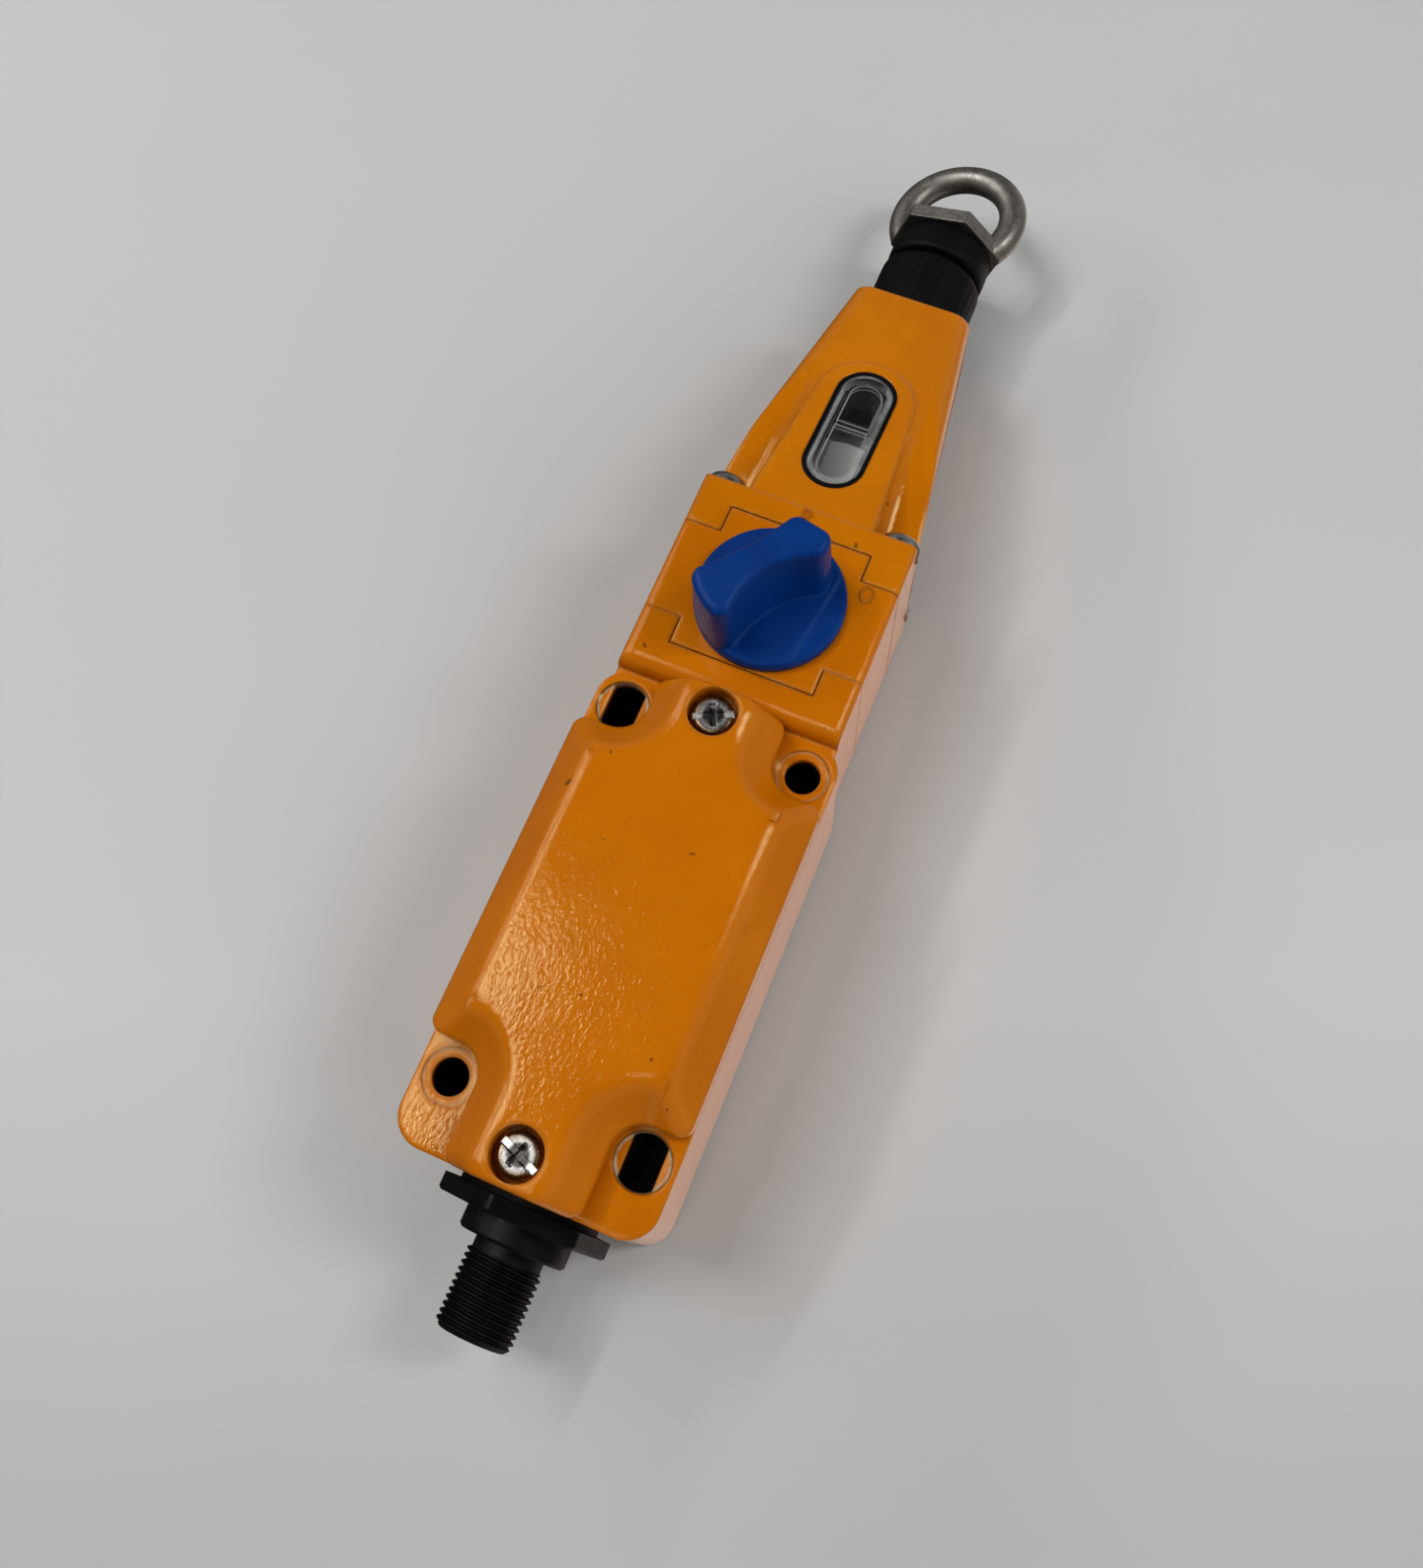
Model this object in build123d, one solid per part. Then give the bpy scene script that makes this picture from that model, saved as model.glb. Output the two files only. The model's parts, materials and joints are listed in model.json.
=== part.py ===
"""Rope pull switch.

X is the width, Y runs along the pull shaft towards the eye, Z comes out of the back face.
The origin is the centre of the 30 x 60 mm fixing pattern on the back face. All sizes in mm.
"""
import os
from math import atan, cos, degrees, radians, sin, sqrt
from build123d import *

# Body box and fixing pattern
BODY_W = 40.0
HOLE_EDGE = 5.0
HOLE_X = BODY_W / 2 - HOLE_EDGE
HOLE_Y = 30.0
HOLE_R = 2.75
SLOT_R = 2.65
SLOT_LEN = 8.0
SPOT_R = 4.1
SPOT_DEPTH = 0.3
BODY_LOW = -HOLE_Y - 10.5
BODY_TOP = HOLE_Y + 6.0
LEDGE_Z = 32.0
BODY_CORNER = 5.0
FLOOR = 3.0
CAV_X = HOLE_X + 0.4
CAV_Y = HOLE_Y - 7.8
FAR = 300.0

# Lid
LID_H = 10.0
LID_WALL = 4.0
LID_INSET = 5.0
LID_CUT_R = SPOT_R + 0.6
LID_ROUND = 2.0
LID_EDGE = 1.3
LID_SCREW_Y = (HOLE_Y + 1.5, -HOLE_Y - 5.8)
LID_BORE_R = 3.85
LID_TONGUE = LID_BORE_R + 1.45
LID_BORE_DEPTH = 4.0
LID_HEAD_R = 3.2
LID_HEAD_H = 2.4
SCREW_R = 2.0
LID_SCREW_TIP = LEDGE_Z - 7.2

# Middle block
BLOCK_W = BODY_W - 3.2
BLOCK_Z = LEDGE_Z + 3.0
BLOCK_ROUND = 1.4
NECK_LEN = 10.3
BLOCK_LEN = 16.2
BLOCK_LOW = BODY_TOP + NECK_LEN
BLOCK_HIGH = BLOCK_LOW + BLOCK_LEN
TONGUE_W = BLOCK_W - 12.6
TONGUE_L = 4.7
TONGUE_LOW = BLOCK_LOW - TONGUE_L
TONGUE_HIGH = BLOCK_HIGH + TONGUE_L
TONGUE_Z = BLOCK_Z - 6.0
SEAM = 0.2
AXIS_Z = 14.0

# Nose
SHOULDER_LEN = 8.9
NOSE_LEN = 51.1
SHOULDER = BLOCK_HIGH + SHOULDER_LEN
NOSE_END = SHOULDER + NOSE_LEN
NOSE_HALF = 10.9
NOSE_TOP_0 = BLOCK_Z - 1.1
NOSE_TOP_1 = AXIS_Z + 10.4
PAD_RISE = 0.7
PAD_W = 17.6
PAD_END = NOSE_END - 17.1
POCKET_X0 = BLOCK_W / 2 - 7.4
POCKET_X1 = PAD_W / 2 + 0.1
POCKET_END = PAD_END - 3.0
POCKET_Z = BLOCK_Z - 9.3
POCKET_BOW = 1.4
NOSE_BORE_R = 8.9
NOSE_BORE_END = NOSE_END - 11.5

# Head screws
HS_X = BLOCK_W / 2 - 3.2
HS_Z = (BLOCK_Z - 5.2, AXIS_Z - 8.0)
HS_HEAD_R = 3.6
HS_HEAD_H = 2.9
HS_TIP = BLOCK_LOW - 8.3

# Window
WIN_W = 10.6
WIN_L = 26.2
WIN_Y = SHOULDER + 18.3
GASKET_T = 0.7
GASKET_H = 2.2
LENS_SEAT = 0.4
LENS_H = 2.2

# Pull shaft and eye
SHAFT_R = 4.0
RUN_FIT = 0.03
TRAVEL = 8.0
BUSH_R = 6.0
SPIGOT_R = 3.0
SPIGOT_TOP = 12.0
SHAFT_LOW = -15.5
BOOT_LEN = 19.0
EYE_LOW = NOSE_END + BOOT_LEN
EYE_COLLAR = 2.6
EYE_AF = 19.0
EYE_Y = EYE_LOW + 7.4
EYE_R = 10.5
EYE_WIRE = 2.55
EYE_TILT = 13.5
HUB_R = 6.5
HUB_LOW = EYE_LOW - 6.9
BOOT_R = 9.5
BOOT_TOP_R = 9.3
BOOT_GROOVE_Y = NOSE_END + 11.7
BOOT_GROOVE = 1.1

# Knob
KNOB_Y = BLOCK_LOW + BLOCK_LEN / 2 - 0.4
KNOB_R = 12.1
KNOB_Z = BLOCK_Z + 0.3
DISC_H = 1.8
GRIP_TOP = KNOB_Z + 14.1
SPINDLE_R = 4.0
WELL_R = 6.0
WELL_Z = AXIS_Z + SHAFT_R + 1.8
CRANK_E = 1.0
CRANK_R = 1.2
CRANK_GAP = 0.35

# Connector
CON_SEAL = 1.3
CON_FLANGE_AF = 23.6
CON_FLANGE_H = 2.6
CON_COLLAR_R = 8.4
CON_COLLAR_H = 3.4
CON_NECK_R = 5.4
CON_THREAD_R = 5.95
PLUG_LEN = 20.5
CON_END = BODY_LOW - PLUG_LEN
CON_BORE_R = 4.3
CON_STUD_R = 8.0
CON_STUD_END = BODY_LOW + 10.5
CON_TILT = -15.0

os.makedirs("parts", exist_ok=True)


def save(name, shape):
    export_step(shape, "parts/" + name + ".step")


def yplane(y):
    """Plane across the shaft; its second direction is +Z and its first is -X."""
    return Plane(origin=(0, y, 0), x_dir=(-1, 0, 0), z_dir=(0, 1, 0))


def ybar(sketch, y0, y1):
    return extrude(yplane(y0) * sketch, y1 - y0)


def ycyl(r, y0, y1, x=0.0, z=AXIS_Z):
    return Pos(x, (y0 + y1) / 2, z) * Rot(90, 0, 0) * Cylinder(r, y1 - y0)


def ytube(r_out, r_in, y0, y1, z=AXIS_Z):
    return ycyl(r_out, y0, y1, 0, z) - ycyl(r_in, y0 - 1, y1 + 1, 0, z)


def zcyl(r, z0, z1, x=0.0, y=0.0):
    return Pos(x, y, (z0 + z1) / 2) * Cylinder(r, z1 - z0)


def block(x0, x1, y0, y1, z0, z1):
    return Pos((x0 + x1) / 2, (y0 + y1) / 2, (z0 + z1) / 2) * Box(x1 - x0, y1 - y0, z1 - z0)


def xprism(points, x0, x1):
    """Prism along X over a list of (y, z) points."""
    across = Plane(origin=(x0, 0, 0), x_dir=(0, 1, 0), z_dir=(1, 0, 0))
    return extrude(across * make_face(Polyline(*points, close=True)), x1 - x0)


def spring(r, wire, pitch, turns):
    """Coil along +Z from the origin, five-sided wire."""
    path = Helix(pitch=pitch, height=pitch * turns, radius=r)
    across = Plane(origin=path @ 0, z_dir=path % 0)
    coil = sweep(across * RegularPolygon(wire / 2, 5), path=path)
    return coil


def group(solids):
    return Compound(children=list(solids))


def upper_profile():
    """Section of the middle block across the shaft."""
    sk = Pos(0, BLOCK_Z / 2) * Rectangle(BLOCK_W, BLOCK_Z)
    return fillet(sk.vertices().group_by(Axis.Y)[-1], BLOCK_ROUND)


# Switch body

outline = Pos(0, (BODY_LOW + BODY_TOP) / 2) * Rectangle(BODY_W, BODY_TOP - BODY_LOW)
outline = fillet(outline.vertices(), BODY_CORNER)
body = extrude(outline, LEDGE_Z)
body = chamfer(body.edges().group_by(Axis.Z)[0], 0.6)
body = fillet(body.edges().group_by(Axis.Z)[-1], 0.35)

neck = ybar(upper_profile(), BODY_TOP - 6, BLOCK_LOW)
neck -= block(-FAR, FAR, 0, BODY_TOP, LEDGE_Z, FAR)
NECK_FALL = BLOCK_Z - LEDGE_Z - 0.4
neck_front = make_face([
    Line((BODY_TOP, BLOCK_Z - NECK_FALL), (BODY_TOP, FAR)), Line((BODY_TOP, FAR), (BODY_TOP + NECK_FALL, FAR)),
    Line((BODY_TOP + NECK_FALL, FAR), (BODY_TOP + NECK_FALL, BLOCK_Z)),
    ThreePointArc((BODY_TOP + NECK_FALL, BLOCK_Z), (BODY_TOP + 0.29 * NECK_FALL, BLOCK_Z - 0.29 * NECK_FALL),
                  (BODY_TOP, BLOCK_Z - NECK_FALL))])
neck -= extrude(Plane(origin=(-FAR, 0, 0), x_dir=(0, 1, 0), z_dir=(1, 0, 0)) * neck_front, 2 * FAR)
body += neck
body -= block(-TONGUE_W / 2, TONGUE_W / 2, TONGUE_LOW, BLOCK_LOW + 1, TONGUE_Z, FAR)

cavity = extrude(fillet(Rectangle(2 * CAV_X, 2 * CAV_Y).vertices(), 4.0), LEDGE_Z)
body -= Pos(0, 0, FLOOR) * cavity

GASKET_W = 1.4
GASKET_D = 1.4
gx = CAV_X + 0.8
gy = CAV_Y + 0.8
ring_out = fillet(Rectangle(2 * (gx + GASKET_W), 2 * (gy + GASKET_W)).vertices(), 5.4)
ring_in = fillet(Rectangle(2 * gx, 2 * gy).vertices(), 4.0)
lid_gasket = Pos(0, 0, LEDGE_Z - GASKET_D) * extrude(ring_out - ring_in, GASKET_D)
body -= lid_gasket

for sx, sy, slotted in ((1, 1, False), (-1, -1, False), (-1, 1, True), (1, -1, True)):
    if slotted:
        hole = extrude(Rectangle(2 * SLOT_R, SLOT_LEN) & Circle(SLOT_LEN / 2), LEDGE_Z + 2)
        hole = Pos(sx * HOLE_X, sy * HOLE_Y, -1) * hole
    else:
        hole = zcyl(HOLE_R, -1, LEDGE_Z + 1, sx * HOLE_X, sy * HOLE_Y)
    body -= hole
    body -= zcyl(SPOT_R, LEDGE_Z - SPOT_DEPTH, LEDGE_Z + 0.5, sx * HOLE_X, sy * HOLE_Y)

for y in LID_SCREW_Y:
    body -= zcyl(SCREW_R, LID_SCREW_TIP, LEDGE_Z + 1, 0, y)

body -= ycyl(SHAFT_R + 0.5, CAV_Y - 1, BLOCK_LOW + 1)
BODY_BUSH_LOW = BLOCK_LOW - 10.0
body -= ycyl(BUSH_R, BODY_BUSH_LOW, BLOCK_LOW + 1)
for sx in (-1, 1):
    for z in HS_Z:
        body -= ycyl(SCREW_R, HS_TIP - 1, BLOCK_LOW + 1, sx * HS_X, z)

body -= ycyl(CON_STUD_R, BODY_LOW - 1, CON_STUD_END)
body -= ycyl(CON_BORE_R + 1.5, CON_STUD_END - 1, -CAV_Y + 1)
EARTH_X = CAV_X - 5.4
EARTH_Y = 3.5 - CAV_Y
body -= zcyl(1.5, FLOOR - 2.4, FLOOR + 1, EARTH_X, EARTH_Y)
BLOCK_SCREW_Y = (-12.6, 15.2)
for y in BLOCK_SCREW_Y:
    body -= zcyl(1.25, FLOOR - 2.4, FLOOR + 1, 0, y)
save("switch_body", body)
save("lid_gasket", lid_gasket)

# Lid: bevelled slab with a flared cut round each fixing hole and a rounded top edge

LID_TOP = LEDGE_Z + LID_H
LID_BEVEL_Z = LEDGE_Z + LID_WALL
LID_END = BODY_TOP - SEAM


def lid_outline(half, r, trim, z):
    """Outline of the lid at one height: a round cut at each fixing hole, rounded outer corners."""
    c = LID_ROUND * (1 - cos(radians(45)))
    m = r * cos(radians(45))
    xs = HOLE_X - r
    ys = HOLE_Y - r
    edges = []
    for sx, sy in ((1, 1), (-1, 1), (-1, -1), (1, -1)):
        end = (LID_END if sy > 0 else -BODY_LOW) - trim
        pts = [(half, 0), (half, ys - LID_ROUND), (half - c, ys - c), (half - LID_ROUND, ys), (HOLE_X, ys),
               (HOLE_X - m, HOLE_Y - m), (xs, HOLE_Y), (xs, end - LID_ROUND), (xs - c, end - c),
               (xs - LID_ROUND, end), (0, end)]
        pts = [Vector(sx * x, sy * y, z) for x, y in pts]
        quarter = [Line(pts[0], pts[1]), ThreePointArc(pts[1], pts[2], pts[3]), Line(pts[3], pts[4]),
                   ThreePointArc(pts[4], pts[5], pts[6]), Line(pts[6], pts[7]),
                   ThreePointArc(pts[7], pts[8], pts[9]), Line(pts[9], pts[10])]
        edges += quarter if sx * sy > 0 else quarter[::-1]
    return Face(Wire(edges))


lid_half = BODY_W / 2
cut_grow = HOLE_X - LID_TONGUE - LID_CUT_R
levels = [lid_outline(lid_half, LID_CUT_R, 0.0, LID_BEVEL_Z)]
for below, trim in ((LID_EDGE, 0.0), (0.45 * LID_EDGE, 0.12 * LID_EDGE), (0.12 * LID_EDGE, 0.4 * LID_EDGE),
                    (0.0, 0.75 * LID_EDGE)):
    t = (LID_H - LID_WALL - below) / (LID_H - LID_WALL)
    levels.append(lid_outline(lid_half - t * LID_INSET - trim, LID_CUT_R + t * cut_grow + trim, trim, LID_TOP - below))
lid = extrude(lid_outline(lid_half, LID_CUT_R, 0.0, LEDGE_Z), LID_WALL)
lid += loft(levels, ruled=True)
LID_ROOM_X = CAV_X - 3.9
LID_ROOM_Y = CAV_Y - 3.2
lid -= block(-LID_ROOM_X, LID_ROOM_X, -LID_ROOM_Y, LID_ROOM_Y, LEDGE_Z - 1, LEDGE_Z + 0.6 * LID_H)
LID_SEAT = LID_TOP - LID_BORE_DEPTH
for y in LID_SCREW_Y:
    lid -= zcyl(LID_BORE_R, LID_SEAT, LID_TOP + 2, 0, y)
    lid -= zcyl(SCREW_R + 0.2, LEDGE_Z - 1, LID_TOP, 0, y)
save("body_lid", lid)


def cross_slot(head, r, top, depth):
    """Combined slot and cross recess cut into a head that points to +Z."""
    head -= block(-r, r, -0.55, 0.55, top - depth * 0.7, top + 1)
    head -= block(-0.5, 0.5, -r * 0.55, r * 0.55, top - depth, top + 1)
    return head


screws = []
for y in LID_SCREW_Y:
    top = LID_SEAT + LID_HEAD_H
    head = zcyl(LID_HEAD_R, LID_SEAT, top)
    head = fillet(head.edges().group_by(Axis.Z)[-1], 0.8)
    head = cross_slot(head, LID_HEAD_R + 0.1, top, 1.5)
    turn = 24 if y > 0 else 158
    screws.append(Pos(0, y, 0) * Rot(0, 0, turn) * (head + zcyl(SCREW_R, LID_SCREW_TIP, LID_SEAT)))
save("lid_screws", group(screws))

# Middle block with its two tongues, and the well under the knob

reset = ybar(upper_profile(), BLOCK_LOW, BLOCK_HIGH)
reset = chamfer(reset.faces().sort_by(Axis.Y)[0].edges() + reset.faces().sort_by(Axis.Y)[-1].edges(), 0.22)
reset += block(-TONGUE_W / 2 + SEAM, TONGUE_W / 2 - SEAM, TONGUE_LOW + SEAM, TONGUE_HIGH - SEAM,
               TONGUE_Z + SEAM, BLOCK_Z)
reset -= zcyl(WELL_R, WELL_Z, BLOCK_Z + 1, 0, KNOB_Y)
ORBIT_R = CRANK_E + CRANK_R + CRANK_GAP
reset -= zcyl(ORBIT_R, AXIS_Z, WELL_Z + 1, 0, KNOB_Y)
reset -= ycyl(SHAFT_R + 0.5, BLOCK_LOW - 1, BLOCK_HIGH + 1)
for sx in (-1, 1):
    for z in HS_Z:
        reset -= ycyl(SCREW_R + 0.15, BLOCK_LOW - 1, BLOCK_HIGH + 1, sx * HS_X, z)
SEAL_R = 7.6
SEAL_T = 0.8
seal_rings = []
for y, s in ((BLOCK_LOW, 1), (BLOCK_HIGH, -1)):
    y0 = min(y, y + s * 1.4)
    ring = ytube(SEAL_R + SEAL_T, SEAL_R - SEAL_T, y0, y0 + 1.4)
    reset -= ring
    seal_rings.append(ring)
KNOB_SEAL_R = 8.2
knob_seal = Pos(0, KNOB_Y, 0) * (Cylinder(KNOB_SEAL_R + 0.7, 1.2) - Cylinder(KNOB_SEAL_R - 0.7, 3))
knob_seal = Pos(0, 0, BLOCK_Z - 0.6) * knob_seal
reset -= knob_seal
save("reset_block", reset)
save("block_seals", group(seal_rings))
save("knob_seal", knob_seal)

# Nose: rounded sections drawn out to the boot, window pad, screw pockets


def nose_section(y, half_w, low, high, r_top, r_low):
    sk = Pos(0, (low + high) / 2) * Rectangle(2 * half_w, high - low)
    sk = fillet(sk.vertices().group_by(Axis.Y)[-1], r_top)
    sk = fillet(sk.vertices().group_by(Axis.Y)[0], r_low)
    return yplane(y) * sk


SLOPE = (NOSE_TOP_0 - NOSE_TOP_1) / (NOSE_END - SHOULDER)


def nose_top(y):
    return NOSE_TOP_1 + SLOPE * (NOSE_END - y)


NOSE_ROUND = 3.6
NOSE_FOOT = AXIS_Z - 10.0
nose = loft([
    nose_section(SHOULDER - 1, BLOCK_W / 2, 0.0, nose_top(SHOULDER - 1), NOSE_ROUND, NOSE_ROUND * 0.3),
    nose_section(NOSE_END, NOSE_HALF, NOSE_FOOT, NOSE_TOP_1, NOSE_ROUND, NOSE_ROUND)], ruled=True)
nose = fillet(nose.faces().sort_by(Axis.Y)[-1].edges(), 0.7)
ears = ybar(upper_profile(), BLOCK_HIGH, SHOULDER)
nose += ears

tilt = degrees(atan(SLOPE))
pad_plane = Plane(origin=(0, WIN_Y, nose_top(WIN_Y) + PAD_RISE), x_dir=(1, 0, 0),
                  z_dir=(0, sin(radians(tilt)), cos(radians(tilt))))
pad_half = (PAD_END - WIN_Y) / cos(radians(tilt))
pad_low = WIN_Y - SHOULDER + 2.0
round_end = Pos(0, pad_half - PAD_W / 2) * Circle(PAD_W / 2)
flare = make_face(Polyline(
    (-PAD_W / 2, pad_half - PAD_W / 2), (PAD_W / 2, pad_half - PAD_W / 2),
    (POCKET_X0, -pad_low), (-POCKET_X0, -pad_low), close=True))
pad = extrude(pad_plane * (round_end + flare), -8.0)
pad = chamfer(pad.faces().sort_by(Axis.Z)[-1].edges(), 0.5)
nose += pad

pocket_plan = extrude(make_face(Polyline(
    (POCKET_X0, SHOULDER), (POCKET_X1, POCKET_END - 3), (POCKET_X1 + 0.6, POCKET_END + 3),
    (FAR, POCKET_END + 3), (FAR, SHOULDER), close=True)), FAR)
pocket_from = Vector(SHOULDER, POCKET_Z)
pocket_to = Vector(POCKET_END, nose_top(POCKET_END))
pocket_mid = (pocket_from + pocket_to) * 0.5 + Vector(0, POCKET_BOW)
pocket_face = make_face([
    ThreePointArc(pocket_from, pocket_mid, pocket_to), Line(pocket_to, (POCKET_END, FAR)),
    Line((POCKET_END, FAR), (SHOULDER, FAR)), Line((SHOULDER, FAR), pocket_from)])
pocket_side = extrude(Plane(origin=(0, 0, 0), x_dir=(0, 1, 0), z_dir=(1, 0, 0)) * pocket_face, FAR)
pocket = pocket_plan & pocket_side
foot = Vector((POCKET_X0 + POCKET_X1) / 2, pocket_mid.X, pocket_mid.Y)
pocket = fillet(pocket.edges().sort_by(lambda e: (e.center() - foot).length)[0:1], 2.4)
nose -= pocket
nose -= mirror(pocket, Plane.YZ)
for sx in (-1, 1):
    nose -= ycyl(HS_HEAD_R + 0.6, SHOULDER, NOSE_END + 5, sx * HS_X, HS_Z[1])
    for z in HS_Z:
        nose -= ycyl(SCREW_R + 0.15, BLOCK_HIGH - 1, SHOULDER + 1, sx * HS_X, z)

nose -= block(-TONGUE_W / 2, TONGUE_W / 2, BLOCK_HIGH - 1, TONGUE_HIGH, TONGUE_Z, FAR)
nose -= ycyl(NOSE_BORE_R, TONGUE_HIGH + 0.8, NOSE_BORE_END)
nose -= ycyl(SHAFT_R + 0.5, BLOCK_HIGH - 1, TONGUE_HIGH + 2)
nose -= ycyl(BUSH_R, NOSE_BORE_END - 1, NOSE_END + 1)


def racetrack(length, width):
    return Rot(0, 0, 90) * SlotOverall(length, width)


win_plane = pad_plane.offset(-GASKET_H)
nose -= extrude(win_plane * racetrack(WIN_L, WIN_W), GASKET_H + 2)
nose -= extrude(win_plane * racetrack(WIN_L - 3.4, WIN_W - 3.4), -12)
save("nose_housing", nose)

gasket = extrude(win_plane * (racetrack(WIN_L, WIN_W) - racetrack(WIN_L - 2 * GASKET_T, WIN_W - 2 * GASKET_T)),
                 GASKET_H + 0.1)
gasket += extrude(win_plane * (racetrack(WIN_L, WIN_W) - racetrack(WIN_L - 3.4, WIN_W - 3.4)), LENS_SEAT)
save("window_gasket", gasket)

lens_w = WIN_W - 2 * GASKET_T
lens_l = WIN_L - 2 * GASKET_T
lens_plane = win_plane.offset(LENS_SEAT)
lens = extrude(lens_plane * racetrack(lens_l, lens_w), LENS_H)
lens = chamfer(lens.faces().sort_by(Axis.Z)[-1].edges(), 0.45)
lens -= extrude(lens_plane * racetrack(lens_l - 3.4, lens_w - 3.4), LENS_H / 2)
rib = extrude(lens_plane * Pos(0, 1.0) * Rectangle(lens_w - 2.4, 0.9), LENS_H / 2 + 0.2)
lens += rib
save("window_lens", lens)

# Head screws

screws = []
for sx in (-1, 1):
    for k, z in enumerate(HS_Z):
        head = zcyl(HS_HEAD_R, 0, HS_HEAD_H)
        head = fillet(head.edges().group_by(Axis.Z)[-1], 2.0)
        head = cross_slot(head, HS_HEAD_R * 0.6, HS_HEAD_H, 1.6)
        shank = zcyl(SCREW_R, HS_TIP - SHOULDER, 0)
        one = Rot(0, 0, 35 + 40 * k + 25 * sx) * (head + shank)
        screws.append(Pos(sx * HS_X, SHOULDER, z) * Rot(-90, 0, 0) * one)
save("head_screws", group(screws))

# Bushes, shaft, collar, sleeve and flag

body_bush = ytube(BUSH_R, SHAFT_R + RUN_FIT, BODY_BUSH_LOW, BLOCK_LOW)
save("body_bush", body_bush)
NOSE_BUSH_END = NOSE_END + 6.5
nose_bush = ytube(BUSH_R, SHAFT_R + RUN_FIT, NOSE_BORE_END, NOSE_BUSH_END)
save("nose_bush", nose_bush)

shaft = ycyl(SHAFT_R, SPIGOT_TOP, EYE_LOW + EYE_COLLAR)
shaft = chamfer(shaft.edges().sort_by(Axis.Y)[-1:], 0.6)
shaft += ycyl(SPIGOT_R, SHAFT_LOW, SPIGOT_TOP + 0.5)
SLOT_FLOOR = AXIS_Z + 0.4 * SHAFT_R
shaft -= block(-ORBIT_R, ORBIT_R, KNOB_Y - TRAVEL - ORBIT_R, KNOB_Y + ORBIT_R, SLOT_FLOOR, FAR)
CLIP_Y = -13.2
CLIP_T = 0.9
shaft -= ytube(SPIGOT_R + 1, SPIGOT_R - 0.6, CLIP_Y - CLIP_T, CLIP_Y)
PIN_Y = EYE_LOW - 3.5
PIN_R = 1.25
shaft -= zcyl(PIN_R, AXIS_Z - 20, AXIS_Z + 20, 0, PIN_Y)
save("pull_shaft", shaft)

COLLAR_LOW = TONGUE_HIGH + 3.6
COLLAR_H = 3.7
COLLAR_R = 6.6
collar = ytube(COLLAR_R, SHAFT_R, COLLAR_LOW, COLLAR_LOW + COLLAR_H)
save("spring_collar", collar)

SLEEVE_LOW = COLLAR_LOW + 0.9
SLEEVE_HIGH = WIN_Y + 12.2
SLEEVE_R = 8.0
FLAG_R = 8.35
FLAG_LOW = WIN_Y - 11.0
FLAG_HIGH = WIN_Y + 1.9
sleeve = ytube(SLEEVE_R, COLLAR_R, SLEEVE_LOW, SLEEVE_HIGH)
save("indicator_sleeve", sleeve)
flag = ytube(FLAG_R, SLEEVE_R, FLAG_LOW, FLAG_HIGH)
save("indicator_flag", flag)

WIRE = 1.4
COIL_R = 5.3
spring_low = COLLAR_LOW + COLLAR_H
spring_len = NOSE_BORE_END - spring_low
turns = 8.5
main_spring = spring(COIL_R, WIRE, (spring_len - WIRE) / turns, turns)
main_spring = Pos(0, spring_low + WIRE / 2, AXIS_Z) * Rot(-90, 0, 0) * main_spring
save("main_spring", main_spring)

# Eye nut: hexagon collar, hub and ring


def hexagon(af):
    return RegularPolygon(af / 2, 6, major_radius=False)


collar_hex = extrude(fillet(hexagon(EYE_AF).vertices(), 0.6), EYE_COLLAR)
eye = Pos(0, EYE_LOW, AXIS_Z) * Rot(-90, 0, 0) * collar_hex
ring = Pos(0, EYE_Y, AXIS_Z) * Torus(EYE_R, EYE_WIRE)
ring -= block(-FAR, FAR, EYE_LOW - FAR, EYE_LOW, -FAR, FAR)
eye += ring
eye += ycyl(HUB_R, HUB_LOW, EYE_LOW)
eye -= ycyl(SHAFT_R, HUB_LOW - 1, EYE_LOW + EYE_COLLAR)
eye = Pos(0, 0, AXIS_Z) * Rot(0, -EYE_TILT, 0) * Pos(0, 0, -AXIS_Z) * eye
eye -= zcyl(PIN_R, AXIS_Z - 20, AXIS_Z + 20, 0, PIN_Y)
save("eye_nut", eye)
PIN_HALF = HUB_R - 0.2
save("eye_pin", zcyl(PIN_R, AXIS_Z - PIN_HALF, AXIS_Z + PIN_HALF, 0, PIN_Y))

# Boot: lower cuff on the bush, groove, upper cuff on the hub of the eye

groove_top = BOOT_GROOVE_Y + BOOT_GROOVE
boot_line = Polyline(
    (BUSH_R, NOSE_END), (BOOT_R, NOSE_END), (BOOT_R, BOOT_GROOVE_Y - 0.6), (BOOT_R - 0.6, BOOT_GROOVE_Y),
    (BOOT_R - 2.2, BOOT_GROOVE_Y + 0.2), (BOOT_R - 2.2, groove_top - 0.2), (BOOT_TOP_R - 0.3, groove_top),
    (BOOT_TOP_R, groove_top + 0.3), (BOOT_TOP_R - 0.2, EYE_LOW - 0.4), (BOOT_TOP_R - 0.6, EYE_LOW),
    (HUB_R, EYE_LOW), (HUB_R, HUB_LOW), (BOOT_R - 2.0, HUB_LOW - 1.6), (BOOT_R - 2.0, NOSE_BUSH_END + 0.6),
    (BUSH_R, NOSE_BUSH_END), close=True)
boot_face = Plane.XY * make_face(boot_line)
boot = revolve(boot_face, Axis.Y, 360)
boot = Pos(0, 0, AXIS_Z) * boot
save("shaft_boot", boot)

# Knob, spindle, bush, clip

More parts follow.
